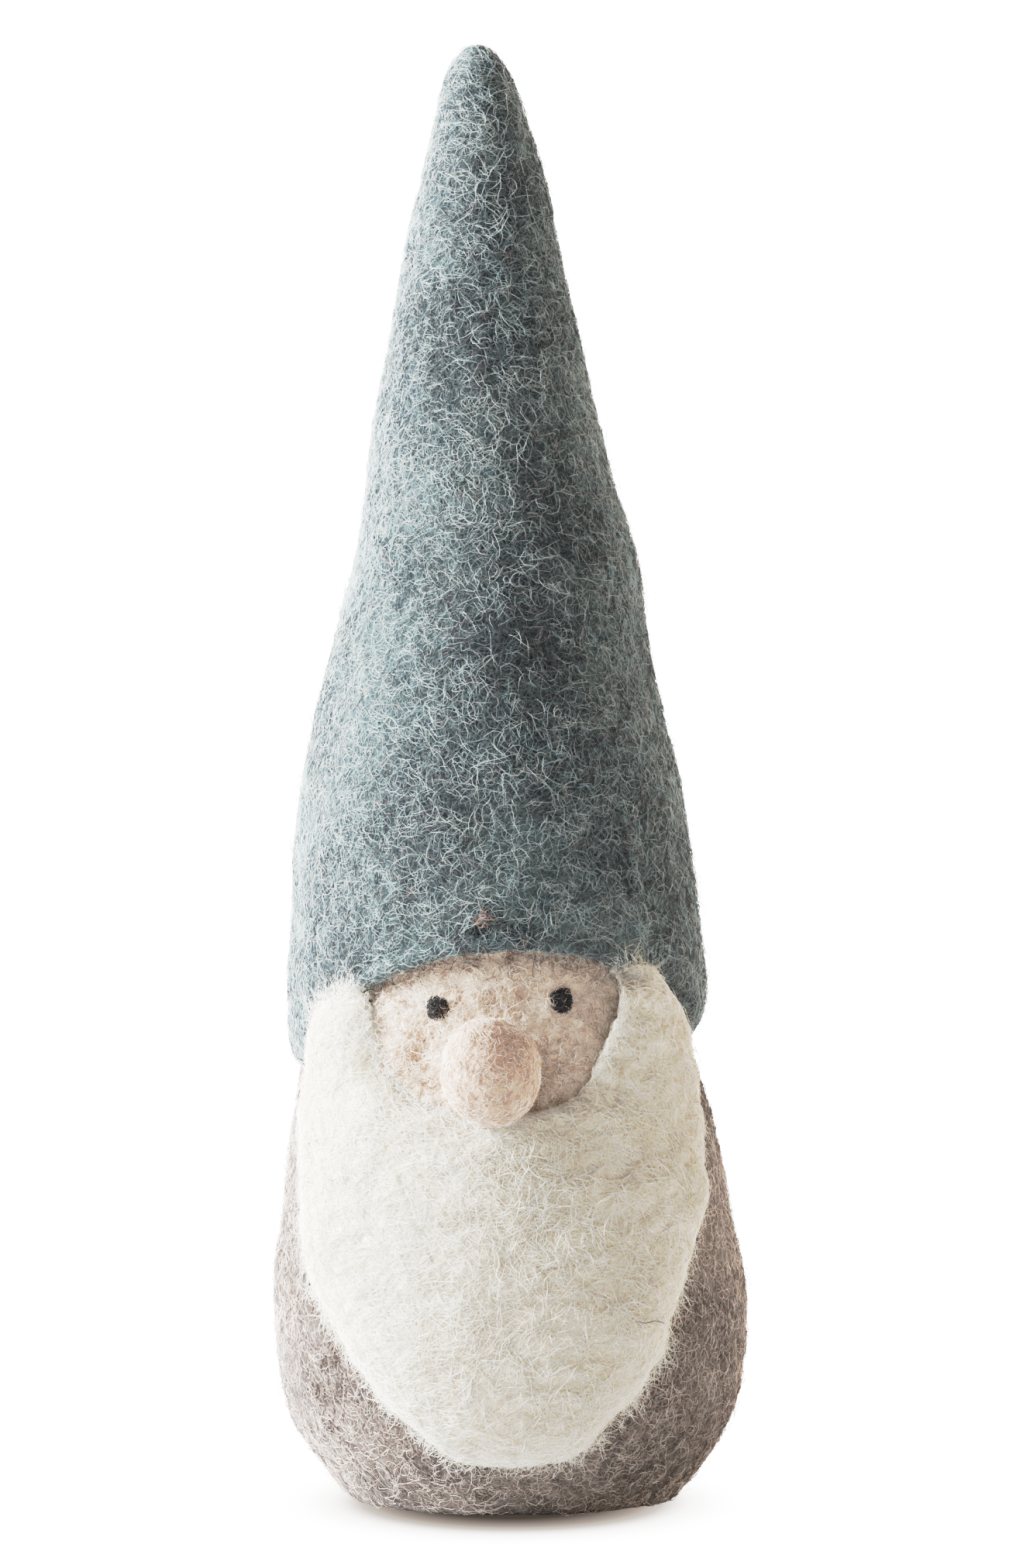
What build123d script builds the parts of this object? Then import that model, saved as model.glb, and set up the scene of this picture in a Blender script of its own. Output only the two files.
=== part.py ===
"""A hand-felted wool tomte (Nordic gnome) figurine, 300 mm tall, built as an assembly.

Frame: millimetres, +Z up, the figure faces -Y, and the origin is the middle of the flat
base that it rests on. The figure leans a little to -X as it goes up, so every horizontal
section has its own centre.

Outside: a felted body pod whose upper part is the head, a tall felted hat, a skin-coloured
face pad with a felt-ball nose and two eyes, and a wool beard whose side locks are felted
over the hat's brim. Inside: stuffing wool in the body and in the hat, and a cotton pouch of
sand above a felt disc that is stitched into the bottom opening.
"""

import math
import os

from build123d import *

# ---- Driving dimensions, in millimetres ----

HEIGHT = 300.0  # the floor to the hat's tip
FELT = 4.0  # wall of the felted body and hat
SLACK = 0.25  # room between a felt wall and what it covers

# Round horizontal sections, from the bottom up: (height, centre in x, radius).
BODY = [
    (0.0, 0.0, 31.0),
    (3.0, 0.0, 36.2),
    (8.5, 0.0, 40.4),
    (15.0, 0.0, 44.6),
    (24.0, 0.0, 47.6),
    (35.0, -0.1, 48.5),
    (50.0, -0.6, 47.6),
    (66.0, -1.3, 45.3),
    (85.0, -2.2, 41.4),
    (97.0, -2.6, 39.0),
    (112.0, -3.0, 36.4),
    (125.0, -3.4, 31.5),
    (135.0, -3.7, 24.5),
    (142.0, -3.9, 15.0),
    (145.0, -4.0, 5.0),
]
HAT = [
    (80.0, -2.6, 42.2),
    (90.0, -2.8, 42.6),
    (102.0, -2.9, 42.8),
    (116.0, -3.2, 42.4),
    (130.0, -3.7, 41.3),
    (145.0, -4.3, 39.4),
    (160.0, -4.7, 36.4),
    (172.0, -4.7, 33.3),
    (183.0, -4.1, 30.9),
    (194.0, -3.5, 28.7),
    (206.0, -4.5, 26.1),
    (218.0, -5.2, 23.8),
    (232.0, -5.3, 20.9),
    (250.0, -5.8, 17.0),
    (268.0, -5.9, 13.2),
    (281.0, -6.3, 10.2),
    (290.0, -6.8, 7.8),
    (296.0, -7.1, 5.3),
    (299.0, -7.2, 3.0),
    (HEIGHT, -7.2, 1.2),
]
HEAD_X = -2.6  # the head's middle, which serves the brim and the eyes

# The hollows in the body and in the hat run from one height to another.
BODY_HOLLOW_TOP = 140.0
HAT_HOLLOW_BOTTOM = 118.0
HAT_HOLLOW_TOP = 292.0

# The brim slopes down to -X, and an arch over the face lifts its front edge.
BRIM_LEFT_Z = 89.5
BRIM_RIGHT_Z = 95.5
BRIM_HALF_WIDTH = 42.6
BRIM_Z = (BRIM_LEFT_Z + BRIM_RIGHT_Z) / 2
BRIM_TILT = math.degrees(math.atan((BRIM_RIGHT_Z - BRIM_LEFT_Z) / (2 * BRIM_HALF_WIDTH)))
ARCH_X = -1.8
ARCH_HALF_WIDTH = 38.0
ARCH_RISE = 22.0

# The face pad, seen from the front: a rounded bowl whose top is tucked under the brim.
FACE_THICK = 1.6
FACE_X = -3.8
FACE_HALF_WIDTH = 29.5
FACE_BOTTOM_Z = 75.0
FACE_TOP_Z = 117.5

NOSE_CENTRE = (-4.2, -50.0, 90.6)
NOSE_SIZE = (19.8, 19.4, 21.6)

EYE_SIZE = (4.7, 2.2, 5.0)
EYES = {"eye_left": (-14.4, 102.6), "eye_right": (9.8, 104.0)}

# The beard's outline from the front, from the left lock down round the belly and up to the
# right lock. It is thicker on the body than where its locks lie on the hat.
BEARD_THICK = 4.6
LOCK_THICK = 2.4
LOCK_START_Z = 95.0
BEARD_OUTLINE = [
    (-30.5, 105.8),
    (-35.0, 105.4),
    (-39.4, 101.8),
    (-41.2, 94.0),
    (-42.5, 86.0),
    (-42.2, 62.0),
    (-40.4, 47.5),
    (-32.0, 33.5),
    (-22.5, 22.0),
    (-9.0, 13.4),
    (3.0, 12.6),
    (13.5, 14.0),
    (21.5, 21.5),
    (29.5, 32.5),
    (34.2, 46.2),
    (38.2, 59.0),
    (38.6, 74.0),
    (36.7, 88.0),
    (35.4, 96.0),
    (32.4, 105.0),
    (27.5, 111.2),
    (22.8, 110.0),
]
# The beard's upper edge, from the right lock down under the nose and up to the left lock.
MOUTH_LINE = [
    (21.9, 105.2),
    (20.8, 97.0),
    (16.9, 90.4),
    (11.3, 84.0),
    (3.1, 81.4),
    (-3.9, 80.2),
    (-11.1, 81.4),
    (-20.3, 84.8),
    (-26.5, 91.5),
    (-30.3, 100.0),
]

# The bottom opening, its felt disc and the whip stitches round the seam.
OPENING_R = 24.0
DISC_ROOM = 0.15
STITCHES = 24
STITCH_REACH = 5.0
THREAD_R = 0.45

# The cotton pouch of sand that weighs the base down, and the room for it in the stuffing.
POUCH_Z = 4.4
POUCH_R = 30.0
POUCH_HIGH = 17.0
POUCH_WALL = 0.8
POUCH_EDGE = 0.42  # the edge's radius, as a share of the height
SAND_ROOM = 0.02

REACH = 90.0  # further from the middle than any piece goes


# ---- Shapes that several pieces share ----


def section_at(sections, z):
    """The section at a height, interpolated between its neighbours."""
    for (z0, x0, r0), (z1, x1, r1) in zip(sections, sections[1:]):
        if z0 <= z <= z1:
            share = (z - z0) / (z1 - z0)
            return (z, x0 + share * (x1 - x0), r0 + share * (r1 - r0))
    raise ValueError(f"no section reaches {z}")


def between(sections, low, high):
    """The sections from one height to another, with new ones at both ends."""
    middle = [s for s in sections if low + 1.0 < s[0] < high - 1.0]
    return [section_at(sections, low), *middle, section_at(sections, high)]


def grown(sections, by):
    """The same sections with an amount added to every radius."""
    return [(z, x, r + by) for z, x, r in sections]


def lofted(sections):
    """A smooth solid through round horizontal sections."""
    return loft([Pos(x, 0, z) * Circle(r) for z, x, r in sections])


def to_the_front(face):
    """A face in the XZ plane, extruded forwards from the middle of the figure."""
    return extrude(face, amount=REACH, dir=(0, -1, 0))


def spline_in_front_view(points):
    """A smooth edge in the XZ plane through (x, z) points."""
    return Spline([(x, 0, z) for x, z in points])


def head_with(thickness):
    """The body pod and a skin of some thickness on it."""
    return lofted(grown(BODY, thickness))


def under_brim():
    """Everything below the brim's sloping edge."""
    slab = Box(2 * REACH, 2 * REACH, REACH)
    return Pos(HEAD_X, 0, BRIM_Z) * Rot(0, -BRIM_TILT, 0) * Pos(0, 0, -REACH / 2) * slab


def arch():
    """The space under the brim's arch, forwards from the middle of the head."""
    opening = Rot(90, 0, 0) * Ellipse(ARCH_HALF_WIDTH, ARCH_RISE)
    return to_the_front(Pos(ARCH_X, 0, BRIM_Z) * Rot(0, -BRIM_TILT, 0) * opening)


def hat_outside():
    """The hat as a full cone, cut to its brim and arch."""
    return lofted(HAT) - under_brim() - arch()


def face_layer(room=0.0):
    """The layer that the face pad fills on the head, with room left round it."""
    half_height = (FACE_TOP_Z - FACE_BOTTOM_Z) / 2 + room
    bowl = Rot(90, 0, 0) * Ellipse(FACE_HALF_WIDTH + room, half_height)
    middle_z = (FACE_TOP_Z + FACE_BOTTOM_Z) / 2
    return head_with(FACE_THICK + room) & to_the_front(Pos(FACE_X, 0, middle_z) * bowl)


def seam_rods():
    """Short radial rods across the seam between the base disc and the body."""
    rod = Pos(OPENING_R, 0, THREAD_R) * Rot(0, 90, 0) * Cylinder(THREAD_R, STITCH_REACH)
    return Compound([Rot(0, 0, 360 * i / STITCHES) * rod for i in range(STITCHES)])


def puck(inset=0.0):
    """The pouch's flat round shape with a soft edge, smaller by an inset all round."""
    height = POUCH_HIGH - 2 * inset
    disc = Pos(0, 0, POUCH_Z + POUCH_HIGH / 2) * Cylinder(POUCH_R - inset, height)
    return fillet(disc.edges().filter_by(GeomType.CIRCLE), POUCH_EDGE * height)


# ---- Pieces ----


def body_shell():
    """The felted pod, hollow, with a round hole in its flat bottom."""
    hollow = lofted(between(grown(BODY, -FELT), FELT, BODY_HOLLOW_TOP))
    hole = Cylinder(OPENING_R, 3 * FELT)
    return lofted(BODY) - hollow - hole - seam_rods()


def base_disc():
    """The felt disc that closes the bottom opening, flush with the base."""
    disc = Pos(0, 0, FELT / 2) * Cylinder(OPENING_R - DISC_ROOM, FELT)
    return disc - seam_rods()


def closing_stitches():
    """Whip stitches of thread, sunk flush in the underside."""
    return seam_rods()


def ballast_pouch():
    """The cotton bag that holds the sand."""
    return puck() - puck(POUCH_WALL)


def ballast_sand():
    """The sand, packed against the bag's inside."""
    return puck(POUCH_WALL + SAND_ROOM)


def body_stuffing():
    """Wool packed round and above the pouch, up into the head."""
    inside = grown(BODY, -FELT - SLACK)
    wool = lofted(between(inside, FELT + SLACK, BODY_HOLLOW_TOP - SLACK))
    room_height = POUCH_Z + POUCH_HIGH + SLACK
    room = Pos(0, 0, room_height / 2) * Cylinder(POUCH_R + SLACK, room_height)
    return wool - room


def hat_shell():
    """The felted hat: a hollow cone that sits down over the head and the face's top."""
    hollow = lofted(between(grown(HAT, -FELT), HAT_HOLLOW_BOTTOM, HAT_HOLLOW_TOP))
    return hat_outside() - head_with(SLACK) - face_layer(SLACK) - hollow


def hat_stuffing():
    """Wool packed in the hat above the head."""
    inside = grown(HAT, -FELT - SLACK)
    wool = lofted(between(inside, HAT_HOLLOW_BOTTOM + SLACK, HAT_HOLLOW_TOP - SLACK))
    return wool - head_with(SLACK)


def face_pad():
    """Skin-coloured wool felted over the front of the head."""
    return face_layer() - lofted(BODY)


def nose_ball():
    """A felt ball, a little taller than wide, pressed against the face."""
    ball = scale(Sphere(0.5), by=NOSE_SIZE)
    return Pos(*NOSE_CENTRE) * ball - head_with(FACE_THICK)


def eye(x, z):
    """A low dome of black wool on the face pad."""
    face_r = section_at(BODY, z)[2] + FACE_THICK
    turn = math.asin((x - HEAD_X) / face_r)
    on_face = Pos(x, -face_r * math.cos(turn), z) * Rot(0, 0, math.degrees(turn))
    return on_face * scale(Sphere(0.5), by=EYE_SIZE) - head_with(FACE_THICK)


def beard():
    """A batt of cream wool over the belly, with a side lock up each side of the face."""
    on_body = [s for s in grown(BODY, BEARD_THICK) if s[0] < LOCK_START_Z - 5.0]
    on_hat = [s for s in grown(HAT, LOCK_THICK) if LOCK_START_Z < s[0] < LOCK_START_Z + 50.0]
    lower = spline_in_front_view(BEARD_OUTLINE)
    upper = spline_in_front_view(MOUTH_LINE)
    joins = [Line(lower @ 1, upper @ 0), Line(upper @ 1, lower @ 0)]
    outline = make_face(Wire([lower, joins[0], upper, joins[1]]))
    batt = lofted(on_body + on_hat) & to_the_front(outline)
    return batt - lofted(BODY) - face_layer() - hat_outside() - nose_ball()


def main():
    """Write every piece to its own STEP file."""
    pieces = {
        "body_shell": body_shell(),
        "base_disc": base_disc(),
        "closing_stitches": closing_stitches(),
        "ballast_pouch": ballast_pouch(),
        "ballast_sand": ballast_sand(),
        "body_stuffing": body_stuffing(),
        "hat_shell": hat_shell(),
        "hat_stuffing": hat_stuffing(),
        "face_pad": face_pad(),
        "nose_ball": nose_ball(),
        "beard": beard(),
    }
    for name, place in EYES.items():
        pieces[name] = eye(*place)
    os.makedirs("parts", exist_ok=True)
    for name, piece in pieces.items():
        export_step(piece, f"parts/{name}.step")


if __name__ == "__main__":
    main()
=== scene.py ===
"""The looks of a hand-felted wool tomte figurine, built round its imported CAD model.

Lengths are in millimetres and become metres when a mesh is made, except for the camera and
the lights, which are placed in metres. The figure faces -Y and stands on Z = 0. Each felt
piece is a fine mesh that takes its place and size from its CAD node, with lumps, dents and
rolled edges, and is covered in thousands of curly wool fibres, which are real closed tubes.
"""

import functools
import itertools

import bmesh
import bpy
import numpy as np
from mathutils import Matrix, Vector
from mathutils.bvhtree import BVHTree
from mathutils.kdtree import KDTree


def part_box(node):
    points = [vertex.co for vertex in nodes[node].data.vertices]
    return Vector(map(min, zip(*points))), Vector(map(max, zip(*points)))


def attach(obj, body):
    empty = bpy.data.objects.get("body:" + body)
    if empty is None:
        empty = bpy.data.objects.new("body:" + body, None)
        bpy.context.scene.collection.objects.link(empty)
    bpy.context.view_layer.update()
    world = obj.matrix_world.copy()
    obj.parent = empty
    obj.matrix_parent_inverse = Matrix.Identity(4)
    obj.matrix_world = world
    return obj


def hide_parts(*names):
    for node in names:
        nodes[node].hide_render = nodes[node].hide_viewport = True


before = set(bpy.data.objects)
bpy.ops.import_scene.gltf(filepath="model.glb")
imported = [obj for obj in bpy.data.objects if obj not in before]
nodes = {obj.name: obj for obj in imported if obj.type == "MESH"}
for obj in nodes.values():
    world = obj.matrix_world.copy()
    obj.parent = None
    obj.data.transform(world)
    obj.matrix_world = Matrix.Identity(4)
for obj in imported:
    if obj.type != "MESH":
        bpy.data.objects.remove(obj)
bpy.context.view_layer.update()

MM = 0.001
rng = np.random.default_rng(7)

# ---- Camera, light, floor ----

CAMERA_FAR = 1.3
CAMERA_HIGH = 0.165
LOOK_HIGH = 0.1472  # the height that the camera looks at
VIEW_HIGH = 0.32384  # how much the camera sees, top to bottom, at the figure's middle
SENSOR_HIGH = 36.0


def new_object(name, data):
    """A new object in the scene."""
    thing = bpy.data.objects.new(name, data)
    bpy.context.scene.collection.objects.link(thing)
    return thing


def aim(thing, target):
    """Turns a light or camera towards a point."""
    away = Vector(thing.location) - Vector(target)
    thing.rotation_euler = away.to_track_quat("Z", "Y").to_euler()


def add_camera():
    """A long lens in front of the face, level with the hat's lower half."""
    data = bpy.data.cameras.new("camera")
    data.sensor_fit = "VERTICAL"
    data.sensor_height = SENSOR_HIGH
    data.lens = SENSOR_HIGH * CAMERA_FAR / VIEW_HIGH
    data.clip_end = 50.0
    camera = new_object("camera", data)
    camera.location = (0.0, -CAMERA_FAR, CAMERA_HIGH)
    aim(camera, (0.0, 0.0, LOOK_HIGH))
    bpy.context.scene.camera = camera


def add_area(name, place, target, size, power, colour):
    """A square soft light."""
    data = bpy.data.lights.new(name, "AREA")
    data.shape = "SQUARE"
    data.size = size
    data.energy = power
    data.color = colour
    light = new_object(name, data)
    light.location = place
    aim(light, target)


def set_inputs(tree, node, inputs):
    """Gives a node's inputs their numbers and colours, or links where a value is a socket."""
    for slot, value in inputs.items():
        socket = node.inputs[slot]
        if isinstance(value, bpy.types.NodeSocket):
            tree.links.new(value, socket)
        elif socket.type == "RGBA":
            socket.default_value = (*value, 1.0)
        else:
            socket.default_value = value


def add_node(tree, kind, inputs):
    """A new shader node with its inputs."""
    node = tree.nodes.new("ShaderNode" + kind)
    set_inputs(tree, node, inputs)
    return node


def split_by_camera(tree, output, other, seen):
    """Shows the camera one shader, and gives the light that falls on the figure from another."""
    ray = add_node(tree, "LightPath", {}).outputs["Is Camera Ray"]
    mix = add_node(tree, "MixShader", {0: ray, 1: other.outputs[0], 2: seen.outputs[0]})
    add_node(tree, output, {"Surface": mix.outputs[0]})


def add_world(fill, backdrop):
    """An even fill light, and a brighter backdrop that only the camera sees."""
    world = bpy.data.worlds.new("studio")
    world.use_nodes = True
    bpy.context.scene.world = world
    tree = world.node_tree
    tree.nodes.clear()
    grounds = [add_node(tree, "Background", ground) for ground in (fill, backdrop)]
    split_by_camera(tree, "OutputWorld", *grounds)


def add_floor():
    """A white floor with a soft contact shadow, which fades into the plain backdrop."""
    mesh = bpy.data.meshes.new("floor")
    half = 6.0
    corners = [(-half, -half, 0), (half, -half, 0), (half, half, 0), (-half, half, 0)]
    mesh.from_pydata(corners, [], [(0, 1, 2, 3)])
    new_object("floor", mesh)
    material = bpy.data.materials.new("white_floor")
    material.use_nodes = True
    mesh.materials.append(material)
    tree = material.node_tree
    tree.nodes.clear()
    radii = (*SHADOW_RADII, 1000.0)  # the floor is flat, so the height counts for nothing
    oval = add_node(tree, "Mapping", {
        "Vector": add_node(tree, "TexCoord", {}).outputs["Object"],
        "Location": [part * MM for part in (*SHADOW_MIDDLE, 0.0)],
        "Scale": [SHADOW_ENDS * part * MM for part in radii],
    })
    oval.vector_type = "TEXTURE"
    away = add_node(tree, "VectorMath", {0: oval.outputs[0]})
    away.operation = "LENGTH"
    ramp = add_node(tree, "ValToRGB", {0: away.outputs["Value"]})
    ramp.color_ramp.elements.remove(ramp.color_ramp.elements[1])
    for distance, level in SHADOW_RAMP:
        shade = [level ** power for power in SHADOW_WARMTH]
        ramp.color_ramp.elements.new(distance / SHADOW_ENDS).color = (*shade, 1.0)
    ramp.color_ramp.elements.remove(ramp.color_ramp.elements[0])
    seen = add_node(tree, "Emission", {"Color": ramp.outputs["Color"], "Strength": BACKDROP})
    plain = add_node(tree, "BsdfDiffuse", {"Color": FLOOR_WHITE})
    split_by_camera(tree, "OutputMaterial", plain, seen)


BACKDROP = 8.0  # how bright the camera sees the backdrop
FLOOR_WHITE = (0.72, 0.72, 0.72)
# The contact shadow is an oval: its brightness goes by the distance from its middle, in radii.
SHADOW_MIDDLE = (0.0, -8.0)
SHADOW_RADII = (32.0, 47.5)
SHADOW_ENDS = 2.0  # the distance at the ramp's far end
SHADOW_WARMTH = (1.0, 1.05, 1.09)  # powers that darken the shadow's green and blue a little more
SHADOW_RAMP = [  # distance and brightness
    (0.0, 0.003), (0.6, 0.009), (0.7, 0.022), (0.87, 0.056), (0.97, 0.09), (1.02, 0.137), (1.15, 0.37),
    (1.35, 0.63), (1.7, 1.0),
]

# Scene brightness against picture brightness: straight up to a bright felt, then a long
# shoulder, so that the lit side of the pale beard keeps its detail.
WHITE_LEVEL = 6.0
SHOULDER = [(0.0, 0.0), (0.3, 0.3), (0.6, 0.57), (1.15, 0.76), (2.2, 0.88), (3.6, 0.95), (6.0, 1.0)]


def set_tone():
    """Plain sRGB with the shoulder."""
    view = bpy.context.scene.view_settings
    view.view_transform = "Standard"
    view.look = "None"
    view.use_curve_mapping = True
    mapping = view.curve_mapping
    mapping.white_level = (WHITE_LEVEL,) * 3
    curve = mapping.curves[3]
    curve.points[0].location = (0.0, 0.0)
    curve.points[1].location = (1.0, 1.0)
    for level, shown in SHOULDER[1:-1]:
        curve.points.new(level / WHITE_LEVEL, shown)
    mapping.update()


# ---- Noise ----


def lattice(cells, seed):
    """A repeatable random value from -1 to 1 for every whole-numbered cell."""
    mixed = cells[:, 0] * 374761393 + cells[:, 1] * 668265263 + cells[:, 2] * 1440662683
    mixed = (mixed + seed * 974634777) & 0xFFFFFFFF
    mixed = ((mixed ^ (mixed >> 13)) * 1274126177) & 0xFFFFFFFF
    return ((mixed ^ (mixed >> 16)) & 0xFFFF) / 32767.5 - 1.0


def noise(points, size, seed):
    """Smooth random values from -1 to 1, with bumps about a size across."""
    spots = points / size + 100.0
    cells = np.floor(spots).astype(np.int64)
    part = spots - cells
    part = part * part * (3.0 - 2.0 * part)
    total = np.zeros(len(points))
    for corner in itertools.product((0, 1), repeat=3):
        weight = np.prod(np.where(corner, part, 1.0 - part), axis=1)
        total += weight * lattice(cells + corner, seed)
    return total


def cloudy(points, size, seed, octaves=3):
    """Noise with finer and weaker layers added."""
    layers = [0.5**i * noise(points, size / 2**i, seed + i) for i in range(octaves)]
    return sum(layers)


def smoothstep(low, high, value):
    """0 below low, 1 above high, and smooth between them."""
    share = np.clip((value - low) / (high - low), 0.0, 1.0)
    return share * share * (3.0 - 2.0 * share)


# ---- Meshes ----

FAR = 200.0  # well outside the figure
COLUMNS = 360  # points round the hat and the body
ROW_STEP = 0.8  # how far apart their rings are


def vertex_array(mesh, what="co"):
    """A mesh's vertex places in millimetres, or its vertex normals."""
    flat = np.empty(len(mesh.vertices) * 3)
    mesh.vertices.foreach_get(what, flat)
    points = flat.reshape(-1, 3)
    return points / MM if what == "co" else points


def move_vertices(mesh, points):
    """Puts a mesh's vertices at places in millimetres."""
    mesh.vertices.foreach_set("co", (points * MM).ravel())
    mesh.update()


def surface_of(piece):
    """A piece's vertex places in millimetres, and their normals."""
    return vertex_array(piece.data), vertex_array(piece.data, "normal")


def mesh_of(name, points, *face_sets):
    """A new smooth-shaded object from places in millimetres and arrays of quads or triangles."""
    mesh = bpy.data.meshes.new(name)
    loops = np.concatenate([faces.ravel() for faces in face_sets])
    sides = np.concatenate([np.full(len(faces), faces.shape[1]) for faces in face_sets])
    mesh.vertices.add(len(points))
    mesh.vertices.foreach_set("co", (points * MM).ravel())
    mesh.loops.add(len(loops))
    mesh.loops.foreach_set("vertex_index", loops.astype(np.int32))
    mesh.polygons.add(len(sides))
    mesh.polygons.foreach_set("loop_start", (np.cumsum(sides) - sides).astype(np.int32))
    mesh.update(calc_edges=True)
    mesh.polygons.foreach_set("use_smooth", np.ones(len(sides), dtype=bool))
    return new_object(name, mesh)


def tree_of(*things):
    """A search tree over some objects' meshes, in millimetres."""
    points, faces, start = [], [], 0
    for thing in things:
        found = vertex_array(thing.data)
        points.extend(map(tuple, found))
        faces.extend(tuple(v + start for v in face.vertices) for face in thing.data.polygons)
        start += len(found)
    return BVHTree.FromPolygons(points, faces)


def cad_tree(*names):
    """A search tree over some CAD nodes, in millimetres."""
    return tree_of(*(nodes[name] for name in names))


def profile_of(node, low, high, step=0.5):
    """Height, middle in X and radius of a round node, measured across it from both sides."""
    tree = cad_tree(node)
    rows = []
    for z in np.arange(low, high, step):
        left = tree.ray_cast((-FAR, 0, z), (1, 0, 0))[0]
        right = tree.ray_cast((FAR, 0, z), (-1, 0, 0))[0]
        rows.append((z, (left.x + right.x) / 2, (right.x - left.x) / 2))
    return np.array(rows).T


def middle_at(profile, z):
    """A profile's middle in X at some heights."""
    return np.interp(z, profile[0], profile[1])


def radius_at(profile, z):
    """A profile's radius at some heights."""
    return np.interp(z, profile[0], profile[2])


def even_heights(profile, top, bottom):
    """Heights from top down to bottom, a row's step apart along the profile's slope."""
    z, _, r = profile
    inside = (z >= bottom) & (z <= top)
    z, r = z[inside][::-1], r[inside][::-1]
    along = np.concatenate([[0.0], np.cumsum(np.hypot(np.diff(z), np.diff(r)))])
    return np.interp(np.linspace(0, along[-1], max(2, int(along[-1] / ROW_STEP))), along, z)


def tube_grid(rows, columns):
    """Quads that join rows of points into a tube with open ends."""
    row, column = np.meshgrid(np.arange(rows - 1), np.arange(columns), indexing="ij")
    after = (column + 1) % columns
    upper, lower = row * columns, (row + 1) * columns
    return np.stack([upper + column, lower + column, lower + after, upper + after], axis=-1).reshape(-1, 4)


def closed_tube(name, rings):
    """A closed piece from rings of points, top to bottom, with a fan over each end."""
    piece = mesh_of(name, rings.reshape(-1, 3), tube_grid(len(rings), rings.shape[1]))
    shape = bmesh.new()
    shape.from_mesh(piece.data)
    bmesh.ops.holes_fill(shape, edges=[e for e in shape.edges if e.is_boundary])
    bmesh.ops.triangulate(shape, faces=[f for f in shape.faces if len(f.verts) > 4])
    bmesh.ops.recalc_face_normals(shape, faces=shape.faces)
    shape.to_mesh(piece.data)
    shape.free()
    return piece


# ---- Felt surfaces ----

FELT = 4.0  # how thick the walls are
angles = np.linspace(0, 2 * np.pi, COLUMNS, endpoint=False)
outward = np.stack([np.cos(angles), np.sin(angles)], axis=1)
front = smoothstep(0.35, 0.8, -outward[:, 1])  # 1 round the front of the head


def ring(profile, z, inset=0.0):
    """One ring of points round a profile: z may differ from column to column."""
    heights = np.broadcast_to(np.asarray(z, dtype=float), (COLUMNS,))
    middle = middle_at(profile, heights)
    radius = np.maximum(radius_at(profile, heights) - inset, 0.05)
    return np.stack([middle + radius * outward[:, 0], radius * outward[:, 1], heights], axis=1)


def lumpy(piece, seed, lumps):
    """Pushes a piece's surface in and out by noise: lumps are (size, height) pairs."""
    points, normals = surface_of(piece)
    push = sum(high * cloudy(points, size, seed + i, 2) for i, (size, high) in enumerate(lumps))
    move_vertices(piece.data, points + normals * push[:, None])


def dent(piece, place, size, depth):
    """Pulls the surface round a place inwards, or outwards where depth is negative."""
    points, normals = surface_of(piece)
    near = np.exp(-np.sum(((points - place) / size) ** 2, axis=1))
    move_vertices(piece.data, points - normals * (depth * near)[:, None])


def lift(piece, lowest):
    """Brings the vertices under a lowest height up to it."""
    points = vertex_array(piece.data)
    points[:, 2] = np.maximum(points[:, 2], lowest)
    move_vertices(piece.data, points)


def in_front(tree, x, z):
    """The first place on a surface that is met from the front."""
    return np.array(tree.ray_cast((x, -FAR, z), (0, 1, 0))[0])


HAT_LOW, HAT_HIGH = 97.0, 299.9  # heights between which the hat is round
BODY_LOW, BODY_HIGH = 0.05, 144.9
hat_profile = profile_of("hat_shell", HAT_LOW, HAT_HIGH)
body_profile = profile_of("body_shell", BODY_LOW, BODY_HIGH)
HAT_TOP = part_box("hat_shell")[1][2] / MM
TUFT = (-5.2, 121.0)  # x and z of a knot of brown wool above the brim
PUCKER = (-6.2, 118.6)  # x and z of the small hollow under it
LOCK_CREASE = [(14.0, 89.0), (16.5, 88.2), (19.0, 87.3), (21.5, 86.2)]  # x and z, under the right lock


def brim_heights():
    """The brim's height over every column, found by looking up at it from below."""
    tree = cad_tree("hat_shell")
    middle = ring(hat_profile, HAT_LOW, FELT / 2)
    heights = [tree.ray_cast((x, y, 50.0), (0, 0, 1))[0].z for x, y, _ in middle]
    return np.array(heights)


brim = brim_heights()
over_face = np.flatnonzero((outward[:, 1] < -0.3) & (np.abs(outward[:, 0]) < 0.8))
brim_front = np.array([ring(hat_profile, brim)[over_face, 0], brim[over_face]])
brim_front = brim_front[:, np.argsort(brim_front[0])]


def above_edge(points):
    """How far each point is above the brim's edge over the face."""
    return points[:, 2] - np.interp(points[:, 0], *brim_front)


def fold_edge(hat):
    """Raises a soft uneven ridge along the brim over the face, with a shallow groove above it."""
    points, normals = surface_of(hat)
    above = above_edge(points)
    uneven = 0.75 + 0.6 * noise(points, 9.0, 17)
    push = 0.6 * np.exp(-(((above - 1.2) / 1.2) ** 2)) - 0.45 * np.exp(-(((above - 3.9) / 1.2) ** 2))
    push *= uneven * smoothstep(-20.0, -30.0, points[:, 1]) * smoothstep(-0.2, 0.2, -normals[:, 1])
    move_vertices(hat.data, points + normals * push[:, None])


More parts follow.
